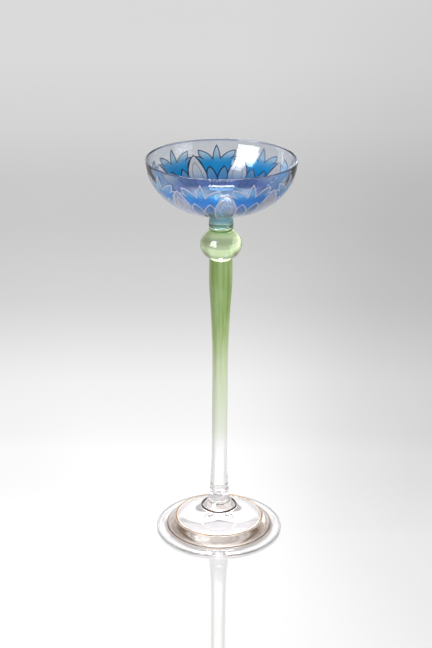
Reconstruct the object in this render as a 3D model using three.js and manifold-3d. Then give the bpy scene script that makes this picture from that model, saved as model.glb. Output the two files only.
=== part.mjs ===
// A long-stemmed liqueur glass: a shallow bowl painted with a wreath of blue flowers, a green
// knop and stem that fade to clear, and a stepped foot with gilt lines.
// Millimetres, +Z up, origin at the middle of the foot's underside.
import * as THREE from 'three';
import Module from 'manifold-3d';
import { mergeVertices } from 'three/addons/utils/BufferGeometryUtils.js';

const wasm = await Module();
wasm.setup();

// Driving dimensions
const overallHeight = 210;

// Bowl
const bowlRimRadius = 38.2;
const bowlDepth = 29; // rim down to where the outer curve would close
const bowlFullness = 2.05; // 2 is a plain ellipse, more is squarer
const bowlWall = 1.2;
const bowlBaseThickness = 2;
const bowlSeatRadius = 6.6;

// Button and wafer between bowl and knop
const buttonRadius = 6.4;
const buttonWaist = 0.25; // how far its side draws in at mid height
const buttonHeight = 6.2;
const waferRadius = 6.4;
const waferHeight = 3.2;

// Knop
const knopRadius = 10.9;
const knopHalfHeight = 9; // of the flattened ball that it is cut from
const knopSeatRadius = 6.2; // flat on top, under the wafer

// Stem
const stemTopRadius = 6;
const stemWaistRadius = 4.15;
const stemFootRadius = 5.1;
const stemNeckLength = 14; // even thickness under the knop
const stemTaperLength = 54; // from the knop down to the slim part
const stemTaperKnee = 29.5; // from the knop down to where half the taper is done
const stemFlareLength = 22; // from the slim part down to the collar
const stemFlareKnee = 9.5; // from the collar up to where two thirds of the flare is done

// Collar and root, where the stem meets the foot
const collarRadius = 5.4;
const collarHeight = 2.2;
const rootTopRadius = 5.15;
const rootBottomRadius = 8.9;
const rootHeight = 9.2;
const rootCurve = 2.2; // 1 is a straight cone, more spreads only near the foot

// Foot
const footRadius = 34.2;
const footEdgeThickness = 1.3;
const footEdgeBevel = 0.4;
const brimInnerRadius = 28.2;
const brimHeight = 1.5;
const brimWall = 1.05; // glass under the brim's gilt line
const hollowHeight = 5.9; // underneath, at the middle
const shoulderRadius = 23.5;
const shoulderHeight = 7;
const shoulderStep = 0.4; // upright edge outside the shoulder's gilt line
const coneTopRadius = 9.9;
const coneTopHeight = 13.2;
const footRestWidth = 1.6; // the flat ring that it stands on

// Gilt lines on the foot, each on a narrow flat of its own
const giltWidth = 0.6;
const giltThickness = 0.3;
const giltLedge = 0.3; // flat left on each side of a line

// Enamel on the bowl
const flowerCount = 9;
const enamelThickness = 0.35;
const enamelGap = 0.25; // paint to glass
const outlineWidth = 0.8;
const wreathDegrees = 94; // from +X round to the first flower

// Steps round and along the curves
const bowlSteps = 4 * flowerCount;
const footSteps = 48;
const stemSteps = 24;
const stemRows = 14;
const bowlRows = 7;
const knopRows = 7;

// Heights of the seats, from the foot up
const rootTop = coneTopHeight + rootHeight;
const collarTop = rootTop + collarHeight;
const bowlSeatHeight = overallHeight - bowlDepth * bowlDrop(bowlSeatRadius);
const buttonBottom = bowlSeatHeight - buttonHeight;
const waferBottom = buttonBottom - waferHeight;
const knopCentre = waferBottom - knopRise(knopSeatRadius);
const stemTop = knopCentre - knopRise(stemTopRadius);

// How far from the knop's centre, up or down, its side has a given radius
function knopRise(radius) {
  return knopHalfHeight * Math.sqrt(1 - (radius / knopRadius) ** 2);
}

// How far below the rim the bowl's outer curve has a given radius, as a share of its depth
function bowlDrop(radius) {
  return (1 - (radius / bowlRimRadius) ** bowlFullness) ** (1 / bowlFullness);
}

// A point on the bowl's outer curve, moved out square to it; drop is a share of the depth
function bowlPoint(drop, out = 0) {
  const radius = bowlRimRadius * (1 - drop ** bowlFullness) ** (1 / bowlFullness);
  const normalX = (radius / bowlRimRadius) ** (bowlFullness - 1) / bowlRimRadius;
  const normalY = -(drop ** (bowlFullness - 1)) / bowlDepth;
  const length = Math.hypot(normalX, normalY);
  return new THREE.Vector2(
    radius + (out * normalX) / length,
    overallHeight - bowlDepth * drop + (out * normalY) / length,
  );
}

// Drops from the rim down, closer together where the curve turns under
function bowlDrops(toDrop) {
  const last = Math.asin(toDrop);
  return Array.from({ length: bowlRows + 1 }, (_, i) => Math.sin((last * i) / bowlRows));
}

// A profile of radii and heights, turned round the upright axis
const turned = (points, steps) => new THREE.LatheGeometry(points, steps).rotateX(Math.PI / 2);
const point = (radius, height) => new THREE.Vector2(radius, height);

function bowlGeometry() {
  const outer = bowlDrops(bowlDrop(bowlSeatRadius)).map((drop) => bowlPoint(drop));
  const innerRadius = bowlRimRadius - bowlWall;
  const innerDepth = overallHeight - bowlSeatHeight - bowlBaseThickness;
  const inner = bowlDrops(1).map((drop) => {
    const radius = innerRadius * Math.max(1 - drop ** bowlFullness, 0) ** (1 / bowlFullness);
    return point(radius, overallHeight - innerDepth * drop);
  });
  return turned([point(0, bowlSeatHeight), ...outer.reverse(), ...inner], bowlSteps);
}

function buttonGeometry() {
  const side = [0, 0.25, 0.5, 0.75, 1].map((share) => point(
    buttonRadius - buttonWaist * Math.sin(Math.PI * share),
    buttonBottom + buttonHeight * share,
  ));
  return turned([point(0, buttonBottom), ...side, point(0, bowlSeatHeight)], stemSteps);
}

// A disc with a half-round edge, for the wafer and the collar
function discGeometry(radius, bottom, height) {
  const edge = [-60, -20, 20, 60].map((degrees) => {
    const angle = THREE.MathUtils.degToRad(degrees);
    return point(radius - (height / 2) * (1 - Math.cos(angle)), bottom + (height / 2) * (1 + Math.sin(angle)));
  });
  const inset = radius - height / 2;
  const rim = [point(inset, bottom), ...edge, point(inset, bottom + height)];
  return turned([point(0, bottom), ...rim, point(0, bottom + height)], stemSteps);
}

function knopGeometry() {
  const from = -Math.acos(stemTopRadius / knopRadius);
  const to = Math.acos(knopSeatRadius / knopRadius);
  const side = Array.from({ length: knopRows + 1 }, (_, i) => {
    const angle = from + ((to - from) * i) / knopRows;
    return point(knopRadius * Math.cos(angle), knopCentre + knopHalfHeight * Math.sin(angle));
  });
  return turned([point(0, stemTop), ...side, point(0, waferBottom)], stemSteps);
}

function stemGeometry() {
  const line = new THREE.SplineCurve([
    point(stemFootRadius, collarTop),
    point((stemFootRadius + stemWaistRadius * 2) / 3, collarTop + stemFlareKnee),
    point(stemWaistRadius, collarTop + stemFlareLength),
    point(stemWaistRadius, (collarTop + stemFlareLength + stemTop - stemTaperLength) / 2),
    point(stemWaistRadius, stemTop - stemTaperLength),
    point((stemTopRadius + stemWaistRadius) / 2, stemTop - stemTaperKnee),
    point(stemTopRadius, stemTop - stemNeckLength),
    point(stemTopRadius, stemTop),
  ]);
  const side = line.getPoints(stemRows);
  return turned([point(0, collarTop), ...side, point(0, stemTop)], stemSteps);
}

function rootGeometry() {
  const rows = 6;
  const side = Array.from({ length: rows + 1 }, (_, i) => {
    const share = i / rows;
    const radius = rootTopRadius + (rootBottomRadius - rootTopRadius) * (1 - share) ** rootCurve;
    return point(radius, coneTopHeight + rootHeight * share);
  });
  return turned([point(0, coneTopHeight), ...side, point(0, rootTop)], stemSteps);
}

// The stepped upper side from the rim to the middle, with a narrow flat under each gilt line
function footGeometry() {
  const half = giltWidth / 2 + giltLedge;
  const upper = [
    point(footRadius, footEdgeBevel),
    point(footRadius, footEdgeThickness - footEdgeBevel),
    point(footRadius - footEdgeBevel, footEdgeThickness),
    point(brimInnerRadius + half, brimHeight),
    point(brimInnerRadius - half, brimHeight),
    point(shoulderRadius + half, shoulderHeight - shoulderStep),
    point(shoulderRadius + half, shoulderHeight),
    point(shoulderRadius - half, shoulderHeight),
    point(coneTopRadius, coneTopHeight),
    point(0, coneTopHeight),
  ];
  const under = [
    point(0, hollowHeight),
    point(brimInnerRadius, brimHeight - brimWall),
    point(footRadius - footEdgeBevel - footRestWidth, 0),
    point(footRadius - footEdgeBevel, 0),
  ];
  return turned([...under, ...upper], footSteps);
}

function giltGeometry(radius, height) {
  const inner = radius - giltWidth / 2;
  const outer = radius + giltWidth / 2;
  const top = height + giltThickness;
  const section = [point(inner, height), point(outer, height), point(outer, top), point(inner, top)];
  return turned([...section, section[0].clone()], footSteps);
}

// The thin skin, just off the glass, out of which every painted piece is cut
function enamelSkin() {
  const drops = bowlDrops(bowlDrop(bowlSeatRadius));
  const inside = drops.map((drop) => bowlPoint(drop, enamelGap));
  const outside = drops.map((drop) => bowlPoint(drop, enamelGap + enamelThickness)).reverse();
  return solidOf(turned([...outside, ...inside, outside[0].clone()], bowlSteps));
}

function solidOf(geometry) {
  const bare = geometry.clone();
  bare.deleteAttribute('normal');
  bare.deleteAttribute('uv');
  const merged = mergeVertices(bare, 1e-4);
  return new wasm.Manifold(new wasm.Mesh({
    numProp: 3,
    vertProperties: new Float32Array(merged.attributes.position.array),
    triVerts: new Uint32Array(merged.index.array),
  }));
}

function geometryOf(solid) {
  const mesh = solid.getMesh();
  const geometry = new THREE.BufferGeometry();
  geometry.setAttribute('position', new THREE.BufferAttribute(mesh.vertProperties, 3));
  geometry.setIndex(new THREE.BufferAttribute(mesh.triVerts, 1));
  geometry.computeVertexNormals();
  return geometry;
}

// Where a mark of the pattern lies on the bowl: degrees round, and drop as a share of the depth
function onBowl(degrees, drop) {
  const spot = bowlPoint(drop);
  const angle = THREE.MathUtils.degToRad(degrees);
  return new THREE.Vector3(spot.x * Math.cos(angle), spot.x * Math.sin(angle), spot.y);
}

// A wedge from near the bowl's centre out past the skin, over a closed outline on the bowl
function wedge(outline, faces) {
  const centre = new THREE.Vector3(0, 0, overallHeight);
  const reach = [0.75, 1.3];
  const vertices = reach.flatMap((scale) => outline.map((p) => p.clone().sub(centre)
    .multiplyScalar(scale).add(centre)));
  const count = outline.length;
  const triangles = [];
  for (const [a, b, c] of faces) {
    triangles.push(a, c, b, a + count, b + count, c + count);
  }
  for (let i = 0; i < count; i += 1) {
    const next = (i + 1) % count;
    triangles.push(i, next, next + count, i, next + count, i + count);
  }
  const geometry = new THREE.BufferGeometry();
  geometry.setAttribute('position', new THREE.Float32BufferAttribute(vertices.flatMap((p) => p.toArray()), 3));
  geometry.setIndex(triangles);
  return solidOf(geometry);
}

// The pattern of one pitch, as [share of the pitch across, drop], to the right of its middle.
// A flower runs from its lowest tooth round to the tip of its spear.
const pitch = 360 / flowerCount;
const halfFlower = [
  [0, 0.6], [0.15, 0.5], [0.24, 0.545], [0.265, 0.51], [0.31, 0.42], [0.365, 0.35], [0.432, 0.3], [0.347, 0.315],
  [0.38, 0.245], [0.357, 0.19], [0.262, 0.225], [0.137, 0.325], [0.085, 0.27], [0.055, 0.19], [0, 0.125],
];
// A pair of scallops under the flower, from the dip between them out to a foot
const halfScallops = [[0, 0.66], [0.075, 0.585], [0.15, 0.55], [0.207, 0.585], [0.2, 0.63], [0.105, 0.75]];
// A pointed sepal between two flowers, from its tip down to a foot
const halfSepal = [[0, 0.295], [0.075, 0.34], [0.137, 0.42], [0.182, 0.52], [0.232, 0.62], [0.325, 0.75]];

// Both halves of a mark, mirrored about its first point
function mirrored(half) {
  const left = half.slice(1).reverse().map(([across, drop]) => [-across, drop]);
  return [...left, ...half];
}

function flowerSolid(middle) {
  const marks = mirrored(halfFlower).slice(1);
  const outline = marks.map(([across, drop]) => onBowl(middle + across * pitch, drop));
  const flat = marks.map(([across, drop]) => new THREE.Vector2(across, -drop));
  return wedge(outline, THREE.ShapeUtils.triangulateShape(flat, []));
}

// A painted line of even width along both halves of a mark
function lineSolid(middle, half) {
  const path = mirrored(half).map(([across, drop]) => onBowl(middle + across * pitch, drop));
  const centre = new THREE.Vector3(0, 0, overallHeight);
  const sides = path.map((p, i) => {
    const before = path[Math.max(i - 1, 0)];
    const after = path[Math.min(i + 1, path.length - 1)];
    const along = after.clone().sub(before).normalize();
    return along.cross(p.clone().sub(centre)).normalize().multiplyScalar(outlineWidth / 2);
  });
  const right = path.map((p, i) => p.clone().add(sides[i]));
  const left = path.map((p, i) => p.clone().sub(sides[i])).reverse();
  const last = right.length + left.length - 1;
  const faces = [];
  for (let i = 0; i + 1 < path.length; i += 1) {
    faces.push([i, i + 1, last - i], [i + 1, last - i - 1, last - i]);
  }
  return wedge([...right, ...left], faces);
}

const glass = (color, opacity) => new THREE.MeshStandardMaterial({
  color, roughness: 0.05, metalness: 0, transparent: true, opacity,
});
const clearGlass = () => glass(0xe8edf0, 0.35);
const greenGlass = () => glass(0x9dbb72, 0.6);
const blueEnamel = () => new THREE.MeshStandardMaterial({ color: 0x1a76b8, roughness: 0.25, metalness: 0 });
const lineEnamel = () => new THREE.MeshStandardMaterial({ color: 0x8f86a6, roughness: 0.35, metalness: 0.2 });
const gilding = () => new THREE.MeshStandardMaterial({ color: 0xb07a3a, roughness: 0.3, metalness: 1 });

const liqueurGlass = new THREE.Group();

function place(name, geometry, material) {
  const mesh = new THREE.Mesh(geometry, material);
  mesh.name = name;
  liqueurGlass.add(mesh);
}

place('foot', footGeometry(), clearGlass());
place('gilt_line_brim', giltGeometry(brimInnerRadius, brimHeight), gilding());
place('gilt_line_shoulder', giltGeometry(shoulderRadius, shoulderHeight), gilding());
place('gilt_line_root', giltGeometry(coneTopRadius - giltWidth, coneTopHeight), gilding());
place('stem_root', rootGeometry(), clearGlass());
place('stem_collar', discGeometry(collarRadius, rootTop, collarHeight), clearGlass());
place('stem', stemGeometry(), greenGlass());
place('knop', knopGeometry(), greenGlass());
place('wafer', discGeometry(waferRadius, waferBottom, waferHeight), clearGlass());
place('button', buttonGeometry(), clearGlass());
place('bowl', bowlGeometry(), clearGlass());

const skin = enamelSkin();
const painted = (solid) => geometryOf(solid.intersect(skin));
for (let i = 0; i < flowerCount; i += 1) {
  const middle = wreathDegrees + i * pitch;
  place(`flower_${i + 1}`, painted(flowerSolid(middle)), blueEnamel());
  place(`scallop_line_${i + 1}`, painted(lineSolid(middle, halfScallops)), lineEnamel());
  place(`sepal_line_${i + 1}`, painted(lineSolid(middle + pitch / 2, halfSepal)), lineEnamel());
}

export default liqueurGlass;
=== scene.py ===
import math

import bmesh
import bpy
from mathutils import Matrix, Vector, geometry


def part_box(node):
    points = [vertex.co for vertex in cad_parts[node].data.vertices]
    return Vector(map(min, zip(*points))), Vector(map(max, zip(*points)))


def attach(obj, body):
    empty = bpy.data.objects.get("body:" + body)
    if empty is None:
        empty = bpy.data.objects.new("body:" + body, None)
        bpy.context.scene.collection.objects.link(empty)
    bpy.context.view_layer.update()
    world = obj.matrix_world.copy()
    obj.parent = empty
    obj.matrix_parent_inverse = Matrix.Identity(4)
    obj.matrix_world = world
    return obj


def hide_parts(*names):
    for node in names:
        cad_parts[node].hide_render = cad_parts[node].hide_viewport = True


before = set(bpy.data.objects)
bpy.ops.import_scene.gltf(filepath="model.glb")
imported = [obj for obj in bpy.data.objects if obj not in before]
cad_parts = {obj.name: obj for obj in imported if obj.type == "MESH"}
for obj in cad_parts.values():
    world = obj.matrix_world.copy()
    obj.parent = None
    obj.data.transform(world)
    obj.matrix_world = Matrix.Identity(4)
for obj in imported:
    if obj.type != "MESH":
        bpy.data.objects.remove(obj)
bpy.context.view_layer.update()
mm = 0.001  # the glass's own sizes are in millimetres


# Camera: where the photograph was taken from, in millimetres and degrees

camera = {
    "sideways": -2.28,
    "distance": 713.1,
    "height": 410.8,
    "pitchDown": 22.16,
    "roll": 0.36,
    "lens": 81.8,
    "sensor": 36,
    "clip": (0.05, 50),  # metres
}


def addCamera():
    data = bpy.data.cameras.new("photoCamera")
    data.lens = camera["lens"]
    data.sensor_width = camera["sensor"]
    data.clip_start, data.clip_end = camera["clip"]
    obj = bpy.data.objects.new("photoCamera", data)
    bpy.context.scene.collection.objects.link(obj)
    place = Vector((camera["sideways"], -camera["distance"], camera["height"])) * mm
    tilt = Matrix.Rotation(math.radians(90 - camera["pitchDown"]), 4, "X")
    roll = Matrix.Rotation(math.radians(camera["roll"]), 4, "Z")
    obj.matrix_world = Matrix.Translation(place) @ tilt @ roll
    bpy.context.scene.camera = obj


addCamera()
print("camera placed")


# Nodes and colours

def linear(hexColour):
    parts = [int(hexColour[i:i + 2], 16) / 255 for i in (1, 3, 5)]
    return tuple(p / 12.92 if p <= 0.04045 else ((p + 0.055) / 1.055) ** 2.4 for p in parts) + (1.0,)


# Adds a node; settings are its own values, links its inputs by name or number, as values or sockets
def addNode(tree, kind, settings=None, links=None):
    node = tree.nodes.new(kind)
    for key, value in (settings or {}).items():
        if key == "stops":
            elements = node.color_ramp.elements
            elements[0].position, elements[0].color = value[0]
            elements[1].position, elements[1].color = value[-1]
            for place, colour in value[1:-1]:
                elements.new(place).color = colour
        else:
            setattr(node, key, value)
    for key, value in (links or {}).items():
        if isinstance(value, bpy.types.NodeSocket):
            tree.links.new(value, node.inputs[key])
        else:
            node.inputs[key].default_value = value
    return node


def newMaterial(name):
    material = bpy.data.materials.new(name)
    material.use_nodes = True
    material.node_tree.nodes.clear()
    return material, material.node_tree


# Where a point is up the glass, as 0 to 1 between two heights in millimetres
def heightShare(tree, low, high):
    place = addNode(tree, "ShaderNodeTexCoord")
    split = addNode(tree, "ShaderNodeSeparateXYZ", links={0: place.outputs["Object"]})
    share = addNode(tree, "ShaderNodeMapRange", links={
        "Value": split.outputs["Z"], "From Min": low * mm, "From Max": high * mm})
    return share.outputs[0]


# Materials

# softCoat is how much wet gloss lies over a glass that blurs what is seen through it
glassSurface = {"ior": 1.5, "roughness": 0.0, "waveLength": 9, "waveHeight": 0.02, "softCoat": 0.2}


# The slow waves that hand blowing leaves in a surface
def blownWaves(tree):
    place = addNode(tree, "ShaderNodeTexCoord")
    waves = addNode(tree, "ShaderNodeTexNoise", links={
        "Vector": place.outputs["Object"], "Scale": 1 / (glassSurface["waveLength"] * mm),
        "Detail": 1.0})
    bump = addNode(tree, "ShaderNodeBump", links={
        "Strength": 1.0, "Distance": glassSurface["waveHeight"] * mm, "Height": waves.outputs["Fac"]})
    return bump.outputs["Normal"]


# Clear soda glass, blown and fire-polished: colourless, wet gloss, slow waves in what shows through
def clearGlass():
    material, tree = newMaterial("clearBlownGlass")
    shader = addNode(tree, "ShaderNodeBsdfPrincipled", links={
        "Base Color": linear("#f2f0f2"), "Roughness": glassSurface["roughness"],
        "IOR": glassSurface["ior"], "Transmission Weight": 1.0, "Normal": blownWaves(tree)})
    addNode(tree, "ShaderNodeOutputMaterial", links={"Surface": shader.outputs[0]})
    return material


# Uneven brushwork: shifts a place on a tint up or down by up to its mottle
def mottled(tree, share, tint):
    place = addNode(tree, "ShaderNodeTexCoord")
    grain = addNode(tree, "ShaderNodeTexNoise", links={
        "Vector": place.outputs["Object"], "Scale": 1 / (tint["grain"] * mm), "Detail": 2.0})
    shift = addNode(tree, "ShaderNodeMapRange", links={
        "Value": grain.outputs["Fac"], "From Min": 0.3, "From Max": 0.7,
        "To Min": -tint["mottle"], "To Max": tint["mottle"]})
    total = addNode(tree, "ShaderNodeMath", {"operation": "ADD"}, {0: share, 1: shift.outputs[0]})
    return total.outputs[0]


# Colour that changes up the glass, by stops of 0 to 1 between two heights in millimetres
def tintUp(tree, tint):
    share = heightShare(tree, tint["lowest"], tint["highest"])
    if "mottle" in tint:
        share = mottled(tree, share, tint)
    colour = addNode(tree, "ShaderNodeValToRGB", {
        "stops": [(place, linear(shade)) for place, shade in tint["stops"]]}, {"Fac": share})
    return colour.outputs["Color"]


# Lengthwise cords of deeper green that drawing out leaves in a stem
cords = {
    "spacing": 1.6, "stretch": 0.05, "contrast": (0.42, 0.62), "colour": "#d6e2ae",
    "fade": (75, 115),  # the heights between which they come in
}


def drawnCords(tree, colour):
    thin, thick = cords["contrast"]
    place = addNode(tree, "ShaderNodeTexCoord")
    drawn = addNode(tree, "ShaderNodeVectorMath", {"operation": "MULTIPLY"}, {
        0: place.outputs["Object"], 1: (1, 1, cords["stretch"])})
    noise = addNode(tree, "ShaderNodeTexNoise", links={
        "Vector": drawn.outputs[0], "Scale": 1 / (cords["spacing"] * mm), "Detail": 2.0})
    strong = addNode(tree, "ShaderNodeMapRange", links={
        "Value": noise.outputs["Fac"], "From Min": thin, "From Max": thick})
    share = addNode(tree, "ShaderNodeMath", {"operation": "MULTIPLY"}, {
        0: strong.outputs[0], 1: heightShare(tree, *cords["fade"])})
    mixed = addNode(tree, "ShaderNodeMix", {"data_type": "RGBA", "blend_type": "MULTIPLY"}, {
        0: share.outputs[0], 6: colour, 7: linear(cords["colour"])})
    return mixed.outputs[2]


# Glass tinted in its mass; softness blurs what is seen through it, under a fire-polished skin
def tintedGlass(name, tint, softness=0.0, corded=False):
    material, tree = newMaterial(name)
    colour = tintUp(tree, tint)
    shader = addNode(tree, "ShaderNodeBsdfPrincipled", links={
        "Base Color": drawnCords(tree, colour) if corded else colour, "Roughness": softness,
        "IOR": glassSurface["ior"], "Transmission Weight": 1.0,
        "Coat Weight": glassSurface["softCoat"] if softness else 0.0,
        "Coat Roughness": 0.0, "Coat IOR": glassSurface["ior"], "Normal": blownWaves(tree)})
    addNode(tree, "ShaderNodeOutputMaterial", links={"Surface": shader.outputs[0]})
    return material


# Thin blown glass, painted blue low down: painted light for the blue of the wreath, which runs round
# in the glass and gathers where it is thickest
bowlPaintedBlueLight = {
    "lowest": 181,
    "highest": 196,
    "stops": [(0.0, "#5f9ddc"), (0.5, "#8abcf0"), (0.75, "#c6e0f8"), (1.0, "#eef3fb")],
}

# Colours up the button and wafer, all painted light: dark green low down as painted shade where the
# knop meets them, a pale band as painted highlight, then aqua as the painted colour of the blue wreath
# and green knop seen through the glass
aquaPaintedLightTint = {
    "lowest": 172,
    "highest": 176,
    "stops": [(0.0, "#48702f"), (0.32, "#557f3c"), (0.45, "#c4dcc0"), (0.6, "#c4dcc0"),
              (0.8, "#84b4c6"), (1.0, "#84b4c6")],
}

# Green glass overlaid on clear: leaf green at the knop, drawn out until it fades into clear; the
# dark green at the very top of the knop is painted shade
greenTint = {
    "lowest": 50,
    "highest": 175,
    "stops": [(0.0, "#fcfdfc"), (0.072, "#edf2e4"), (0.21, "#e3eed4"), (0.3, "#e2edcf"),
              (0.396, "#dae9c1"), (0.492, "#cbe0a6"), (0.6, "#b9d892"), (0.84, "#b9d892"),
              # the last two stops paint shade: a dark ring at the top of the knop
              (0.87, "#bfd3a6"), (0.962, "#c9dcb2"), (0.98, "#6b8a44"), (1.0, "#4d6c2a")],
}


# The fire-polished lip, painted grey-blue and part opaque: painted shade for the dark that its tight
# rounding bends into view, so that it reads as a grey line
def lipGlass():
    material, tree = newMaterial("firePolishedLipPaintedShade")
    shader = addNode(tree, "ShaderNodeBsdfPrincipled", links={
        "Base Color": linear("#9ba3bd"), "Roughness": 0.12, "IOR": 1.4, "Transmission Weight": 0.84})
    addNode(tree, "ShaderNodeOutputMaterial", links={"Surface": shader.outputs[0]})
    return material


# Where two gathers of hot glass were joined there is no surface left to see
def fusedJoint():
    material, tree = newMaterial("fusedGlassJoint")
    shader = addNode(tree, "ShaderNodeBsdfPrincipled", links={"Alpha": 0.0})
    addNode(tree, "ShaderNodeOutputMaterial", links={"Surface": shader.outputs[0]})
    return material


# The flower's cobalt: deep in its body, thin at the tips
petalPaint = {
    "lowest": 190,
    "highest": 206.5,
    "stops": [(0.0, "#0cb4ff"), (0.46, "#00b6ff"), (0.58, "#55c8ff"), (0.7, "#c2e9ff"),
              (0.92, "#bfe0f6")],
    "grain": 0.9, "mottle": 0.06,
}


# Transparent cobalt enamel, brushed on and fired: glossy, clear and a little mottled
def petalEnamel():
    material, tree = newMaterial("cobaltTransparentEnamel")
    shader = addNode(tree, "ShaderNodeBsdfPrincipled", links={
        "Base Color": tintUp(tree, petalPaint), "Roughness": 0.12, "IOR": 1.55,
        "Transmission Weight": 0.85})
    addNode(tree, "ShaderNodeOutputMaterial", links={"Surface": shader.outputs[0]})
    return material


# The muted blue inside the small arches, and the milky violet inside the pointed petals
archPaint = {
    "lowest": 186.5,
    "highest": 192,
    "stops": [(0.0, "#7fa6dc"), (0.5, "#8db8e8"), (1.0, "#7cc0f0")],
}
sepalPaint = {
    "lowest": 186,
    "highest": 193,
    "stops": [(0.0, "#9fb0ee"), (0.5, "#c9d3f8"), (1.0, "#f8f9ff")],
}


# Enamel thinned to a wash and fired: nearly clear, with a soft gloss that blurs what lies behind
def enamelWash(name, tint):
    material, tree = newMaterial(name)
    shader = addNode(tree, "ShaderNodeBsdfPrincipled", links={
        "Base Color": tintUp(tree, tint), "Roughness": 0.15, "IOR": 1.5, "Transmission Weight": 0.95})
    addNode(tree, "ShaderNodeOutputMaterial", links={"Surface": shader.outputs[0]})
    return material


# Opaque contour enamel, a raised line with a soft gloss: pale outside, and dark towards the glass,
# partly for the dark ground under it and partly as painted shade of a line seen against the light
def contourEnamel(name, colour, roughness):
    material, tree = newMaterial(name)
    shader = addNode(tree, "ShaderNodeBsdfPrincipled", links={
        "Base Color": linear(colour), "Roughness": roughness, "IOR": 1.55})
    addNode(tree, "ShaderNodeOutputMaterial", links={"Surface": shader.outputs[0]})
    return material


giltWear = {"patch": 1.5, "stops": (0.35, 0.7)}  # millimetres, and where bright turns to worn


# Liquid gold, brushed on while the glass turns and fired: thin, warm, a little worn
def gilding(name, bright, worn):
    material, tree = newMaterial(name)
    place = addNode(tree, "ShaderNodeTexCoord")
    wear = addNode(tree, "ShaderNodeTexNoise", links={
        "Vector": place.outputs["Object"], "Scale": 1 / (giltWear["patch"] * mm), "Detail": 3.0})
    whole, rubbed = giltWear["stops"]
    colour = addNode(tree, "ShaderNodeValToRGB", {
        "stops": [(whole, linear(bright)), (rubbed, linear(worn))]}, {"Fac": wear.outputs["Fac"]})
    shader = addNode(tree, "ShaderNodeBsdfPrincipled", links={
        "Base Color": colour.outputs["Color"], "Metallic": 1.0, "Roughness": 0.3})
    addNode(tree, "ShaderNodeOutputMaterial", links={"Surface": shader.outputs[0]})
    return material


# A warm, nearly clear coat on the band between the two gilt lines, with a soft gloss that blurs what
# lies under it
def warmBandCoat():
    material, tree = newMaterial("warmNearlyClearCoat")
    shader = addNode(tree, "ShaderNodeBsdfPrincipled", links={
        "Base Color": linear("#ecdccf"), "Roughness": 0.2, "IOR": 1.5, "Transmission Weight": 0.97})
    addNode(tree, "ShaderNodeOutputMaterial", links={"Surface": shader.outputs[0]})
    return material


finish = {
    "clear": clearGlass(),
    # the bowl's glass is painted blue low down, as painted light
    "bowl": tintedGlass("thinBowlGlass", bowlPaintedBlueLight),
    "green": tintedGlass("drawnGreenGlass", greenTint, corded=True),
    "ball": tintedGlass("leafGreenGlass", greenTint, softness=0.13),
    # button and wafer: painted shade, painted highlight and the painted colour of what shows through
    "aqua": tintedGlass("aquaPaintedLightGlass", aquaPaintedLightTint),
    "joint": fusedJoint(),
    # the lip's grey-blue is painted shade
    "lip": lipGlass(),
    "petal": petalEnamel(),
    "arch": enamelWash("greyBlueEnamelWash", archPaint),
    "mist": enamelWash("milkyVioletEnamelWash", sepalPaint),
    # the side of each line towards the glass: navy, partly painted shade
    "dark": contourEnamel("navyContourEnamelAndShade", "#0b3a66", 0.3),
    "pale": contourEnamel("paleLilacRaisedEnamel", "#c9c6d8", 0.35),
    "gold": gilding("firedGoldLine", "#9a7a46", "#5f4122"),
    # a darker brown copy of the gold that paints shade, on the brim and root lines
    "brown": gilding("firedGoldPaintedShade", "#54371c", "#2f1c0e"),
    "wash": warmBandCoat(),
}
print("materials made")


# Turned pieces: each is one closed section in millimetres, turned round the stem's axis

turning = {"steps": 144, "rounding": 6, "sharpAbove": 42, "onAxis": 1e-4}


# Makes a piece of what was built in bm, with its finishes, in the place of a CAD node
def finishPiece(bm, name, node, materials):
    bmesh.ops.recalc_face_normals(bm, faces=bm.faces)
    mesh = bpy.data.meshes.new(name)
    bm.to_mesh(mesh)
    bm.free()
    mesh.set_sharp_from_angle(angle=math.radians(turning["sharpAbove"]))
    for material in materials:
        mesh.materials.append(finish[material])
    obj = bpy.data.objects.new(name, mesh)
    bpy.context.scene.collection.objects.link(obj)
    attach(obj, "root")
    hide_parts(node)


# stretches: [(material number, [(radius, height), ...]), ...], end to end all round the section
def turned(name, node, stretches, materials):
    steps = turning["steps"]
    bm = bmesh.new()
    rings = {}

    def ring(radius, height):
        key = (round(radius, 4), round(height, 4))
        if key not in rings:
            count = 1 if radius < turning["onAxis"] else steps
            angles = [2 * math.pi * k / steps for k in range(count)]
            rings[key] = [bm.verts.new(Vector((
                radius * math.cos(a), radius * math.sin(a), height)) * mm) for a in angles]
        return rings[key]

    for number, points in stretches:
        for a, b in zip(points, points[1:]):
            first, second = ring(*a), ring(*b)
            for k in range(steps):
                corners = [first[k % len(first)], first[(k + 1) % len(first)],
                           second[(k + 1) % len(second)], second[k % len(second)]]
                face = bm.faces.new(list(dict.fromkeys(corners)))
                face.material_index = number
                face.smooth = True
    finishPiece(bm, name, node, materials)


# Corners of a section, each (radius, height, how far before and after it the corner is rounded)
def rounded(corners):
    points = []
    for i, (radius, height, soft) in enumerate(corners):
        spot = Vector((radius, height))
        if soft == 0 or i in (0, len(corners) - 1):
            points.append(tuple(spot))
            continue
        before = Vector(corners[i - 1][:2]) - spot
        after = Vector(corners[i + 1][:2]) - spot
        start = spot + before.normalized() * soft
        end = spot + after.normalized() * soft
        for k in range(turning["rounding"] + 1):
            t = k / turning["rounding"]
            points.append(tuple(start * (1 - t) ** 2 + spot * 2 * t * (1 - t) + end * t ** 2))
    return points


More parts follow.
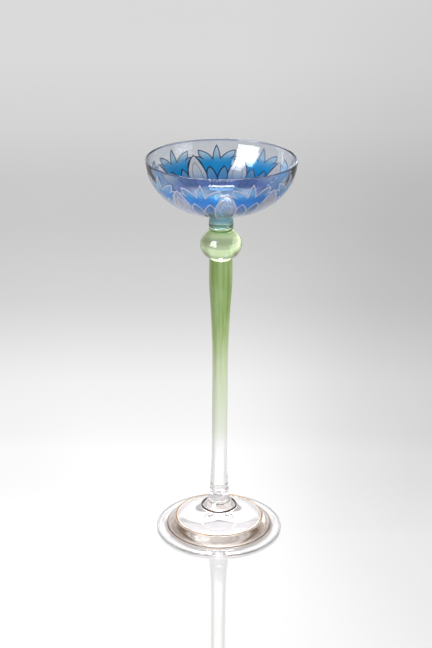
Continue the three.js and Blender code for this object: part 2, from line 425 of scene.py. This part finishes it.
# A smooth curve through points of a section, in steps between each two of them
def smoothThrough(points, steps):
    spots = [Vector(p) for p in points]
    curve = []
    for i in range(len(spots) - 1):
        p0, p1 = spots[max(i - 1, 0)], spots[i]
        p2, p3 = spots[i + 1], spots[min(i + 2, len(spots) - 1)]
        for k in range(steps):
            t = k / steps
            v0, v1 = (p2 - p0) / 2, (p3 - p1) / 2
            curve.append(tuple(p1 * (2 * t ** 3 - 3 * t ** 2 + 1) + v0 * (t ** 3 - 2 * t ** 2 + t)
                               + p2 * (3 * t ** 2 - 2 * t ** 3) + v1 * (t ** 3 - t ** 2)))
    return curve + [tuple(spots[-1])]


# Lowest and highest point and radius of a CAD node, in millimetres
def bandOf(node):
    low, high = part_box(node)
    return low.z / mm, high.z / mm, high.x / mm


bowlSeat, rimHeight, rimRadius = bandOf("bowl")
buttonBottom, buttonTop, buttonRadius = bandOf("button")
waferBottom, waferTop, waferRadius = bandOf("wafer")
knopBottom, knopTop, knopRadius = bandOf("knop")
stemBottom, stemTop, stemTopRadius = bandOf("stem")
collarBottom, collarTop, collarRadius = bandOf("stem_collar")
rootBottom, rootTop, rootRadius = bandOf("stem_root")
_, footTop, footRadius = bandOf("foot")

# The radius at which a ring's flat ends meet its half-round side
collarFlat = collarRadius - (collarTop - collarBottom) / 2
waferFlat = waferRadius - (waferTop - waferBottom) / 2


# The foot: a low brim, a steep shoulder and a gentle cone up to the root
foot = {
    "edgeThickness": 1.3, "restWidth": 1.6, "edgeRound": 0.6,
    "brimRadius": 28.2, "brimHeight": 1.5, "brimWall": 1.05,
    "shoulderRadius": 23.5, "shoulderHeight": 7, "ledge": 0.6, "coneRadius": 9.9,
    "hollowRadius": 2, "hollowHeight": 5.5, "hollowRound": 1,
    # how softly the corners turn: brim into shoulder above and below, the ledge's two sides, the rest
    "brimSoft": 4.2, "underSoft": 3.5, "ledgeSoft": (0.7, 0.6), "seatSoft": 0.5,
    "washStart": 0.5,  # how far outside the brim's radius the warm coat begins
}


def makeFoot():
    ledge, edge, soft = foot["ledge"], foot["edgeThickness"], foot["edgeRound"]
    ledgeOuter, ledgeInner = foot["ledgeSoft"]
    upper = rounded([
        (0, 0, 0),
        (footRadius, 0, soft),
        (footRadius, edge, soft),
        (foot["brimRadius"], foot["brimHeight"], foot["brimSoft"]),
        (foot["shoulderRadius"] + ledge, foot["shoulderHeight"], ledgeOuter),
        (foot["shoulderRadius"] - ledge, foot["shoulderHeight"], ledgeInner),
        (foot["coneRadius"], footTop, foot["seatSoft"]),
        (rootRadius, footTop, 0),
    ])[1:]  # the first corner, on the axis, only steers the rounding of the next
    restInner = footRadius - soft - foot["restWidth"]
    under = rounded([
        (0, foot["hollowHeight"], 0),
        (foot["hollowRadius"], foot["hollowHeight"], foot["hollowRound"]),
        (foot["brimRadius"], foot["brimHeight"] - foot["brimWall"], foot["underSoft"]),
        (restInner, 0, foot["seatSoft"]),
        upper[0] + (0,),
    ])
    washOutside = foot["brimRadius"] + foot["washStart"]
    outside = [i for i, spot in enumerate(upper) if spot[0] >= washOutside][-1]
    inside = [i for i, spot in enumerate(upper) if spot[0] > foot["shoulderRadius"]][-1]
    turned("footGlass", "foot", [
        (0, under), (0, upper[:outside + 1]), (2, upper[outside:inside + 1]), (0, upper[inside:]),
        (1, [upper[-1], (0, footTop)])], ["clear", "joint", "wash"])


# The gilt lines, each a low dome of gold: its width, its height, how far up its CAD box it starts,
# and which gold
giltLines = {
    # the brim and root lines are in the darker copy of the gold, painted shade
    "Brim": (0.55, 0.14, 0.8, "brown"),
    "Shoulder": (0.7, 0.16, 0.01, "gold"),
    "Root": (0.8, 0.75, 0.01, "brown"),
}
giltDome = {"solidWidth": 0.6, "steps": 8}


def makeGiltLine(place, width, height, lift, material):
    node = "gilt_line_" + place.lower()
    low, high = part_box(node)
    middle = high.x / mm - giltDome["solidWidth"] / 2
    base = low.z / mm + lift
    half = width / 2
    angles = [math.pi * k / giltDome["steps"] for k in range(giltDome["steps"] + 1)]
    dome = [(middle + half * math.cos(a), base + height * math.sin(a)) for a in angles]
    turned("giltLine" + place, node, [(0, dome + [dome[0]])], [material])


# The root: the drawn end of the stem, spread on the foot
root = {"topRadius": 5.15, "spread": 2.2, "steps": 20}


def makeRoot():
    side = []
    for k in range(root["steps"] + 1):
        share = k / root["steps"]
        radius = root["topRadius"] + (rootRadius - root["topRadius"]) * (1 - share) ** root["spread"]
        side.append((radius, rootBottom + (rootTop - rootBottom) * share))
    turned("stemRootGlass", "stem_root", [
        (1, [(0, rootBottom), side[0]]), (0, side + [(collarFlat, rootTop)]),
        (1, [(collarFlat, rootTop), (0, rootTop)])], ["clear", "joint"])


ringSteps = 10


# A ring squeezed out between two gathers, such as the collar and the wafer, with a half-round side
def makeRing(name, node, bottom, top, flat, material):
    half = (top - bottom) / 2
    angles = [math.radians(-90 + 180 * k / ringSteps) for k in range(ringSteps + 1)]
    side = [(flat + half * math.cos(a), bottom + half + half * math.sin(a)) for a in angles]
    turned(name, node, [
        (1, [(0, bottom), side[0]]), (0, side), (1, [side[-1], (0, top)])], [material, "joint"])


# The stem: narrow in the middle, flared to the collar and to its neck under the knop
stem = {
    "footRadius": 5.1, "waistRadius": 4.15, "neckLength": 14,
    "taperLength": 54, "taperKnee": 29.5, "flareLength": 22, "flareKnee": 9.5, "steps": 10,
}


def makeStem():
    low, waist = stem["footRadius"], stem["waistRadius"]
    flareTop = stemBottom + stem["flareLength"]
    taperBottom = stemTop - stem["taperLength"]
    outer = smoothThrough([
        (low, stemBottom), ((low + 2 * waist) / 3, stemBottom + stem["flareKnee"]),
        (waist, flareTop), (waist, (flareTop + taperBottom) / 2), (waist, taperBottom),
        ((stemTopRadius + waist) / 2, stemTop - stem["taperKnee"]),
        (stemTopRadius, stemTop - stem["neckLength"]), (stemTopRadius, stemTop)], stem["steps"])
    turned("stemGlass", "stem", [
        (1, [(0, stemBottom), (collarFlat, stemBottom)]), (0, [(collarFlat, stemBottom)] + outer),
        (1, [outer[-1], (0, stemTop)])], ["green", "joint"])


# The knop: a slightly flattened ball
knop = {"halfHeight": 9, "seatRadius": 6.2, "steps": 36}


def makeKnop():
    half = knop["halfHeight"]
    bottom = -math.acos(stemTopRadius / knopRadius)
    top = math.acos(knop["seatRadius"] / knopRadius)
    centre = knopTop - half * math.sin(top)
    angles = [bottom + (top - bottom) * k / knop["steps"] for k in range(knop["steps"] + 1)]
    outer = [(knopRadius * math.cos(a), centre + half * math.sin(a)) for a in angles]
    outer[0] = (stemTopRadius, knopBottom)
    turned("knopGlass", "knop", [
        (1, [(0, knopBottom), outer[0]]), (0, outer + [(waferFlat, knopTop)]),
        (1, [(waferFlat, knopTop), (0, knopTop)])], ["ball", "joint"])


# The button: a short block under the bowl, drawn in a little at its waist
button = {"waist": 0.25, "steps": 12}


def makeButton():
    side = []
    for k in range(button["steps"] + 1):
        share = k / button["steps"]
        radius = buttonRadius - button["waist"] * math.sin(math.pi * share)
        side.append((radius, buttonBottom + (buttonTop - buttonBottom) * share))
    turned("buttonGlass", "button", [
        (1, [(0, buttonBottom), (waferFlat, buttonBottom)]), (0, [(waferFlat, buttonBottom)] + side),
        (1, [side[-1], (0, buttonTop)])], ["aqua", "joint"])


# The bowl: a shallow half-ellipsoid, its fullness above 2 for a rounder shoulder
bowl = {
    "depth": 29, "fullness": 2.05, "wall": 1.2, "floor": 2, "steps": 44,
    # how thin the rim is, and down to what share of the depth
    "lipWall": 0.8, "lipReach": 0.25, "lipSteps": 8,
}


# The bowl's outer curve at a depth below the rim, as (radius, height), moved out square to it
def bowlSpot(down, out=0.0):
    share, full = down / bowl["depth"], bowl["fullness"]
    radius = rimRadius * max(1 - share ** full, 0) ** (1 / full)
    square = Vector((
        (radius / rimRadius) ** (full - 1) / rimRadius, -share ** (full - 1) / bowl["depth"]))
    square.normalize()
    return radius + out * square.x, rimHeight - down + out * square.y


def makeBowl():
    steps, full = bowl["steps"], bowl["fullness"]
    lip = bowl["lipWall"] / 2
    last = math.asin((rimHeight - bowlSeat) / bowl["depth"])
    first = math.asin(lip / bowl["depth"])
    turns = [last + (first - last) * k / steps for k in range(steps + 1)]
    outer = [bowlSpot(bowl["depth"] * math.sin(a)) for a in turns]
    innerDepth = rimHeight - bowlSeat - bowl["floor"]
    inner = []
    for k in range(steps + 1):
        share = math.sin(math.pi / 2 * k / steps)
        if share * innerDepth > lip:
            wall = bowl["lipWall"] + (bowl["wall"] - bowl["lipWall"]) * min(share / bowl["lipReach"], 1)
            radius = (rimRadius - wall) * max(1 - share ** full, 0) ** (1 / full)
            inner.append((radius, rimHeight - innerDepth * share))
    angles = [math.pi * k / bowl["lipSteps"] for k in range(1, bowl["lipSteps"])]
    roundLip = [
        (rimRadius - lip + lip * math.cos(a), rimHeight - lip + lip * math.sin(a)) for a in angles]
    turned("bowlGlass", "bowl", [
        (1, [(0, bowlSeat), (buttonRadius, bowlSeat)]),
        (0, [(buttonRadius, bowlSeat)] + outer), (2, outer[-1:] + roundLip + inner[:1]),
        (0, inner)], ["bowl", "joint", "lip"])


makeFoot()
for place, values in giltLines.items():
    makeGiltLine(place, *values)
makeRoot()
makeRing("stemCollarGlass", "stem_collar", collarBottom, collarTop, collarFlat, "clear")
makeStem()
makeKnop()
makeRing("waferGlass", "wafer", waferBottom, waferTop, waferFlat, "aqua")
makeButton()
makeBowl()
print("blown glass turned")


# The painted wreath. A mark is a list of corners, (degrees from its middle, millimetres below
# the rim, bulge of the stretch to the next corner as a share of its length)

wreath = {
    "count": 9, "firstFlower": 94,
    "degree": 0.6,  # millimetres to a degree round the bowl, in a mark's own flat drawing
    "step": 0.6, "grid": 1.4,  # how close points lie along a line and inside a skin of paint
    "paintLift": 0.03, "paintThickness": 0.08,
    "lineWidth": 0.55, "fineWidth": 0.24, "lineHeight": 0.16, "lineBase": 0.02,
    "lineShoulder": (0.6, 0.75),  # where a line's section bends, as shares of its half width and height
    "mitreLimit": 1.8,
    "hairpin": 0.1,  # a turn so sharp that its two sides all but cancel out
}

halfFlower = [
    (0, 19.4, 0.08), (6.4, 14.0, 0.14), (10.0, 17.6, 0.0),
    (12.4, 14.0, 0.0), (14.6, 11.2, -0.04), (18.0, 9.0, -0.1), (11.6, 10.4, -0.16),
    (15.2, 5.9, -0.1), (3.2, 10.5, -0.05), (0, 3.6, 0.0),
]
halfArches = [(0, 19.6, 0.08), (6.4, 14.2, 0.16), (10.4, 17.8, 0.0), (9.6, 25.0, 0.0), (0, 25.0, 0.0)]
halfSepal = [(0, 8.2, 0.05), (5.4, 12.4, 0.03), (9.4, 17.0, 0.0)]
sepalFill = [(0, 8.2, 0.05), (5.4, 12.4, 0.03), (9.3, 17.2, 0.0), (10.0, 24.6, 0.0), (0, 24.6, 0.0)]
innerSepal = [(0, 11.6, 0.06), (3.4, 14.6, 0.04), (5.2, 19.5, 0.0)]


# Both halves of a mark, mirrored about its middle
def mirrored(half):
    left = [(-half[i][0], half[i][1], half[i - 1][2]) for i in range(len(half) - 1, 0, -1)]
    return left, list(half)


# A closed outline, in which the two corners on the middle stand once
def closedMark(half):
    left, right = mirrored(half)
    return right[:-1] + [(right[-1][0], right[-1][1], right[-2][2])] + left[1:]


# A line from the left end to the right one
def openMark(half):
    left, right = mirrored(half)
    return left + right


# Points along a mark's stretches, close enough together to follow the bowl
def alongMark(corners, closed):
    points = []
    ends = corners[1:] + (corners[:1] if closed else [])
    for (x0, y0, bulge), (x1, y1, _) in zip(corners, ends):
        start = Vector((x0 * wreath["degree"], y0))
        end = Vector((x1 * wreath["degree"], y1))
        side = end - start
        middle = (start + end) / 2 + Vector((side.y, -side.x)) * bulge * 2  # a curve goes half as far
        count = max(2, round(side.length / wreath["step"]))
        for k in range(count):
            t = k / count
            spot = start * (1 - t) ** 2 + middle * 2 * t * (1 - t) + end * t ** 2
            points.append((spot.x / wreath["degree"], spot.y))
    if not closed:
        points.append(corners[-1][:2])
    return points


# A point so many degrees round the bowl, below its rim and out from its surface
def onBowl(degrees, down, out):
    radius, height = bowlSpot(down, out)
    angle = math.radians(degrees)
    return Vector((radius * math.cos(angle), radius * math.sin(angle), height)) * mm


# A thin closed skin of paint inside an outline
def paintSkin(bm, middle, outline, number):
    scale = wreath["degree"]
    flat = [Vector((x * scale, y)) for x, y in outline]
    count = len(flat)
    lowX, highX = min(p.x for p in flat), max(p.x for p in flat)
    lowY, highY = min(p.y for p in flat), max(p.y for p in flat)
    grid = wreath["grid"]
    for i in range(int((highX - lowX) / grid) + 1):
        for j in range(int((highY - lowY) / grid) + 1):
            flat.append(Vector((lowX + (i + 0.5) * grid, lowY + (j + 0.5) * grid)))
    keepInside, closeness = 1, 1e-5
    spots, _, faces, _, _, _ = geometry.delaunay_2d_cdt(
        flat, [], [list(range(count))], keepInside, closeness)
    used = sorted({i for face in faces for i in face})
    levels = []
    lift = wreath["paintLift"]
    for out in (lift, lift + wreath["paintThickness"]):
        levels.append({
            i: bm.verts.new(onBowl(middle + spots[i].x / scale, spots[i].y, out)) for i in used})
    low, high = levels
    edges = []
    for face in faces:
        a = bm.faces.new([high[i] for i in face])
        b = bm.faces.new([low[i] for i in reversed(face)])
        a.material_index = b.material_index = number
        a.smooth = b.smooth = True
        edges += zip(face, list(face[1:]) + [face[0]])
    bothWays = set(edges)
    for i, j in edges:
        if (j, i) not in bothWays:  # only one triangle has this edge, so the skin ends here
            wall = bm.faces.new([high[j], high[i], low[i], low[j]])
            wall.material_index = number


# A raised painted line along points of the bowl, with its inner and outer side in two materials;
# where it turns sharply it keeps its width, up to the mitre limit
def paintLine(bm, middle, points, closed, width, inner, outer):
    base, height = wreath["lineBase"], wreath["lineHeight"]
    shoulderOut, shoulderUp = wreath["lineShoulder"]
    centre = [onBowl(middle + x, y, base) for x, y in points]
    count = len(centre)
    rows = []
    for i, spot in enumerate(centre):
        before = centre[i - 1] if (closed or i > 0) else None
        after = centre[(i + 1) % count] if (closed or i < count - 1) else None
        first = (spot - before).normalized() if before is not None else (after - spot).normalized()
        second = (after - spot).normalized() if after is not None else first
        x, y = points[i]
        up = (onBowl(middle + x, y, base + 1) - spot).normalized()
        sideA, sideB = first.cross(up).normalized(), second.cross(up).normalized()
        side = sideA + sideB
        side = side.normalized() if side.length > wreath["hairpin"] else sideA
        mitre = 1 / max(side.dot(sideA), 1 / wreath["mitreLimit"])
        reach = side * width / 2 * mitre * mm
        crown = up * height * mm
        bend, rise = reach * shoulderOut, crown * shoulderUp
        section = [spot - reach, spot - bend + rise, spot + crown, spot + bend + rise, spot + reach]
        rows.append([bm.verts.new(point) for point in section])
    pairs = list(zip(rows, rows[1:])) + ([(rows[-1], rows[0])] if closed else [])
    for a, b in pairs:
        for k in range(len(a)):
            following = (k + 1) % len(a)
            face = bm.faces.new([a[k], b[k], b[following], a[following]])
            face.material_index = inner if following == 0 else outer  # the last is the flat underside
            face.smooth = True
    if not closed:
        bm.faces.new(rows[0]).material_index = outer
        bm.faces.new(list(reversed(rows[-1]))).material_index = outer


def makeFlower(number, middle):
    bm = bmesh.new()
    outline = alongMark(closedMark(halfFlower), True)
    paintSkin(bm, middle, outline, 0)
    paintLine(bm, middle, outline, True, wreath["lineWidth"], 1, 2)
    finishPiece(bm, f"flowerPaint{number}", f"flower_{number}", ["petal", "dark", "pale"])


def makeScallops(number, middle):
    bm = bmesh.new()
    paintSkin(bm, middle, alongMark(closedMark(halfArches), True), 2)
    paintLine(bm, middle, alongMark(openMark(halfArches[:-1]), False), False, wreath["lineWidth"], 0, 1)
    stalk = alongMark([halfArches[0], (0, halfArches[-1][1], 0)], False)
    paintLine(bm, middle, stalk, False, wreath["lineWidth"], 0, 1)
    finishPiece(bm, f"scallopPaint{number}", f"scallop_line_{number}",
                ["dark", "pale", "arch"])


def makeSepal(number, middle):
    bm = bmesh.new()
    paintSkin(bm, middle, alongMark(closedMark(sepalFill), True), 2)
    paintLine(bm, middle, alongMark(openMark(halfSepal), False), False, wreath["lineWidth"], 0, 1)
    paintLine(bm, middle, alongMark(openMark(innerSepal), False), False, wreath["fineWidth"], 0, 1)
    finishPiece(bm, f"sepalPaint{number}", f"sepal_line_{number}",
                ["dark", "pale", "mist"])


for i in range(wreath["count"]):
    middle = wreath["firstFlower"] + i * 360 / wreath["count"]
    makeFlower(i + 1, middle)
    makeScallops(i + 1, middle)
    makeSepal(i + 1, middle + 180 / wreath["count"])
print("wreath painted")


# Stage: a pale glossy table top, painted with light that falls off behind the glass and to its sides

table = {
    "width": 12, "depth": 12, "roughness": 0.03, "ior": 1.5,
    "shadowShare": 0.3,  # how much of its brightness comes from the light that falls on it
    # brightness by distance behind the glass in metres
    "falloff": [
        (-0.04, 0.86), (0.0, 0.87), (0.05, 0.93), (0.09, 1.0), (0.13, 1.0), (0.195, 0.945),
        (0.3, 0.74), (0.345, 0.67), (0.47, 0.575), (0.53, 0.535), (0.67, 0.485), (0.9, 0.47),
        (1.22, 0.47), (1.63, 0.39)],
    "reach": (-0.4, 1.8),
    # how much of that is left to the sides, by the slant seen from a point that lies slantFrom metres
    # in front of the glass; in front of the glass the slants widen again, slantNear times as fast
    "slants": [
        (-1.2, 0.8), (-0.6, 0.95), (-0.27, 0.965), (-0.17, 1.0), (0.02, 1.0), (0.07, 0.94),
        (0.15, 0.81), (0.185, 0.765), (0.28, 0.69), (0.6, 0.6), (1.1, 0.55)],
    "slantReach": 1.2, "slantFrom": 0.35, "slantNear": 2.5,
}


# The table's painted light: its falloff to the back times its falloff to the sides
def paintedTableLight(tree):
    place = addNode(tree, "ShaderNodeTexCoord")
    split = addNode(tree, "ShaderNodeSeparateXYZ", links={0: place.outputs["Object"]})
    low, high = table["reach"]
    back = addNode(tree, "ShaderNodeMapRange", links={
        "Value": split.outputs["Y"], "From Min": low, "From Max": high})
    stops = [((y - low) / (high - low), (v, v, v, 1)) for y, v in table["falloff"]]
    shade = addNode(tree, "ShaderNodeValToRGB", {"stops": stops}, {"Fac": back.outputs[0]})
    reach = table["slantReach"]
    away = addNode(tree, "ShaderNodeMath", {"operation": "ADD"}, {
        0: split.outputs["Y"], 1: table["slantFrom"]})
    near = addNode(tree, "ShaderNodeMath", {"operation": "MULTIPLY_ADD"}, {
        0: split.outputs["Y"], 1: -table["slantNear"], 2: table["slantFrom"]})
    ahead = addNode(tree, "ShaderNodeMath", {"operation": "MAXIMUM"}, {
        0: away.outputs[0], 1: near.outputs[0]})
    slant = addNode(tree, "ShaderNodeMath", {"operation": "DIVIDE"}, {
        0: split.outputs["X"], 1: ahead.outputs[0]})
    across = addNode(tree, "ShaderNodeMapRange", links={
        "Value": slant.outputs[0], "From Min": -reach, "From Max": reach})
    sideStops = [((x + reach) / (2 * reach), (v, v, v, 1)) for x, v in table["slants"]]
    dim = addNode(tree, "ShaderNodeValToRGB", {"stops": sideStops}, {"Fac": across.outputs[0]})
    shaded = addNode(tree, "ShaderNodeMix", {"data_type": "RGBA", "blend_type": "MULTIPLY"}, {
        0: 1.0, 6: shade.outputs[0], 7: dim.outputs[0]})
    return shaded.outputs[2]


# White acrylic, polished. What is seen of it mostly glows with its painted light, and for the rest it is
# matt and keeps the glass's shadow, under a clear gloss that mirrors
def acrylic():
    material, tree = newMaterial("whiteAcrylicTable")
    # painted light: the table's brightness falls off behind the glass and to the sides
    shade = paintedTableLight(tree)
    light = addNode(tree, "ShaderNodeEmission", links={"Color": shade, "Strength": 1.0})
    matte = addNode(tree, "ShaderNodeBsdfDiffuse", links={"Color": shade})
    rays = addNode(tree, "ShaderNodeLightPath")
    direct = addNode(tree, "ShaderNodeMath", {"operation": "MAXIMUM"}, {
        0: rays.outputs["Is Camera Ray"], 1: rays.outputs["Is Glossy Ray"]})
    seen = addNode(tree, "ShaderNodeMath", {"operation": "MAXIMUM"}, {
        0: direct.outputs[0], 1: rays.outputs["Is Transmission Ray"]})
    glow = addNode(tree, "ShaderNodeMath", {"operation": "MULTIPLY"}, {
        0: seen.outputs[0], 1: 1 - table["shadowShare"]})
    body = addNode(tree, "ShaderNodeMixShader", links={
        0: glow.outputs[0], 1: matte.outputs[0], 2: light.outputs[0]})
    gloss = addNode(tree, "ShaderNodeBsdfGlossy", links={
        "Color": linear("#ffffff"), "Roughness": table["roughness"]})
    fresnel = addNode(tree, "ShaderNodeFresnel", links={"IOR": table["ior"]})
    surface = addNode(tree, "ShaderNodeMixShader", links={
        0: fresnel.outputs[0], 1: body.outputs[0], 2: gloss.outputs[0]})
    addNode(tree, "ShaderNodeOutputMaterial", links={"Surface": surface.outputs[0]})
    return material


def makeTable():
    mesh = bpy.data.meshes.new("tableTop")
    halfWidth, halfDepth = table["width"] / 2, table["depth"] / 2
    mesh.from_pydata([(-halfWidth, -halfDepth, 0), (halfWidth, -halfDepth, 0),
                      (halfWidth, halfDepth, 0), (-halfWidth, halfDepth, 0)], [], [(0, 1, 2, 3)])
    obj = bpy.data.objects.new("tableTop", mesh)
    bpy.context.scene.collection.objects.link(obj)
    mesh.materials.append(acrylic())


makeTable()


# Light: even and soft on every matt surface; gloss and glass also see the studio's bright panels

studio = {
    "plain": 0.9,
    "strength": 4.0,  # the colours of a ramp end at 1, so they hold brightness / strength
    # brightness by height above the horizon, as the sine of the angle
    "panel": [(0.0, 1.2), (0.25, 1.2), (0.285, 1.0), (0.31, 0.88), (0.40, 0.62), (0.44, 0.58),
              (0.47, 1.8), (0.50, 3.3), (0.70, 3.3), (0.79, 0.35), (1.0, 0.25)],
    # the panel fades between these cosines of the angle round from straight behind
    "panelEdge": (0.93, 0.84),
    # the warm room elsewhere, by that cosine, and how it dims by the height
    "room": [(-1.0, "#e7ddd4"), (-0.2, "#e5dad1"), (0.2, "#aa9786"), (0.7, "#aa9786"), (1.0, "#cec4bc")],
    "roomHeight": [(0.0, 1.0), (0.3, 0.92), (0.62, 0.16), (1.0, 0.16)],
    # a pale wall beyond the table's edge: how bright, and the heights over which it ends
    "wall": 0.8, "wallEnds": (0.17, 0.25),
}


# What gloss and glass see of the studio: the panel behind, the room all round, the wall low down
def studioView(tree):
    strength = studio["strength"]
    place = addNode(tree, "ShaderNodeTexCoord")
    split = addNode(tree, "ShaderNodeSeparateXYZ", links={0: place.outputs["Generated"]})
    stops = [(z, (v / strength,) * 3 + (1,)) for z, v in studio["panel"]]
    panel = addNode(tree, "ShaderNodeValToRGB", {"stops": stops}, {"Fac": split.outputs["Z"]})
    level = addNode(tree, "ShaderNodeVectorMath", {"operation": "MULTIPLY"}, {
        0: place.outputs["Generated"], 1: (1, 1, 0)})
    unit = addNode(tree, "ShaderNodeVectorMath", {"operation": "NORMALIZE"}, {0: level.outputs[0]})
    turn = addNode(tree, "ShaderNodeSeparateXYZ", links={0: unit.outputs[0]})
    full, gone = studio["panelEdge"]
    behind = addNode(tree, "ShaderNodeMapRange", {"interpolation_type": "SMOOTHSTEP"}, {
        "Value": turn.outputs["Y"], "From Min": gone, "From Max": full})
    share = addNode(tree, "ShaderNodeMapRange", links={"Value": turn.outputs["Y"], "From Min": -1.0})
    roomStops = []
    for cosine, shade in studio["room"]:
        roomStops.append(((cosine + 1) / 2, [v / strength for v in linear(shade)[:3]] + [1]))
    roomRound = addNode(tree, "ShaderNodeValToRGB", {"stops": roomStops}, {"Fac": share.outputs[0]})
    heightStops = [(z, (v, v, v, 1)) for z, v in studio["roomHeight"]]
    roomUp = addNode(tree, "ShaderNodeValToRGB", {"stops": heightStops}, {"Fac": split.outputs["Z"]})
    room = addNode(tree, "ShaderNodeMix", {"data_type": "RGBA", "blend_type": "MULTIPLY"}, {
        0: 1.0, 6: roomRound.outputs[0], 7: roomUp.outputs[0]})
    wallTop, wallGone = studio["wallEnds"]
    above = addNode(tree, "ShaderNodeMapRange", {"interpolation_type": "SMOOTHSTEP"}, {
        "Value": split.outputs["Z"], "From Min": wallTop, "From Max": wallGone})
    wall = studio["wall"] / strength
    roomOrWall = addNode(tree, "ShaderNodeMix", {"data_type": "RGBA"}, {
        0: above.outputs[0], 6: (wall, wall, wall, 1), 7: room.outputs[2]})
    around = addNode(tree, "ShaderNodeMix", {"data_type": "RGBA"}, {
        0: behind.outputs[0], 6: roomOrWall.outputs[2], 7: panel.outputs[0]})
    return around.outputs[2]


def makeWorld():
    world = bpy.data.worlds.new("softStudio")
    world.use_nodes = True
    tree = world.node_tree
    tree.nodes.clear()
    seen = addNode(tree, "ShaderNodeBackground", links={
        "Color": studioView(tree), "Strength": studio["strength"]})
    plain = addNode(tree, "ShaderNodeBackground", links={
        "Color": linear("#ffffff"), "Strength": studio["plain"]})
    rays = addNode(tree, "ShaderNodeLightPath")
    both = addNode(tree, "ShaderNodeMixShader", links={
        0: rays.outputs["Is Diffuse Ray"], 1: seen.outputs[0], 2: plain.outputs[0]})
    addNode(tree, "ShaderNodeOutputWorld", links={"Surface": both.outputs[0]})
    bpy.context.scene.world = world


makeWorld()


# Each lamp: degrees round from the camera's side (left is minus), metres away and up, width and
# height in metres, brightness; all stand upright but the strips, which face a point stripAim metres up
lamps = {
    "windowLeft": (-45, 0.80, 0.60, 0.53, 0.66, 12.5),
    "windowLeftTop": (-36, 0.80, 1.20, 0.38, 0.54, 6),
    "softboxRight": (64, 0.80, 0.21, 0.46, 0.40, 2.0),
    "stripAbove": (180, 0.50, 1.12, 0.34, 0.09, 20),
    "stripBehind": (180, 0.8, 0.745, 0.13, 0.45, 9),
}
stripAim = 0.19


# The lamps light everything but the table top, which would mirror them
def allButTable():
    group = bpy.data.collections.new("lampReceivers")
    group.objects.link(bpy.data.objects["tableTop"])
    group.collection_objects[0].light_linking.link_state = "EXCLUDE"
    return group


lampReceivers = allButTable()


def makeLamp(name, around, away, up, width, height, brightness):
    data = bpy.data.lights.new(name, "AREA")
    data.shape = "RECTANGLE"
    data.size, data.size_y = width, height
    data.energy = brightness * math.pi * width * height  # watts that give any size that brightness
    obj = bpy.data.objects.new(name, data)
    bpy.context.scene.collection.objects.link(obj)
    a = math.radians(around)
    obj.location = (math.sin(a) * away, -math.cos(a) * away, up)
    towards = Vector((obj.location.x, obj.location.y, up - stripAim if name.startswith("strip") else 0))
    obj.rotation_euler = towards.to_track_quat("Z", "Y").to_euler()
    obj.visible_diffuse = False  # it shows in gloss and glass only
    obj.visible_camera = False
    obj.light_linking.receiver_collection = lampReceivers


for name, values in lamps.items():
    makeLamp(name, *values)

# How often light may bounce: through every wall of the glass, but not on and on round in the bowl's rim
scene = bpy.context.scene
scene.cycles.max_bounces = 32
scene.cycles.transmission_bounces = 28
scene.cycles.glossy_bounces = 12
scene.cycles.transparent_max_bounces = 24
scene.view_settings.view_transform = "Standard"
print("stage and light set")
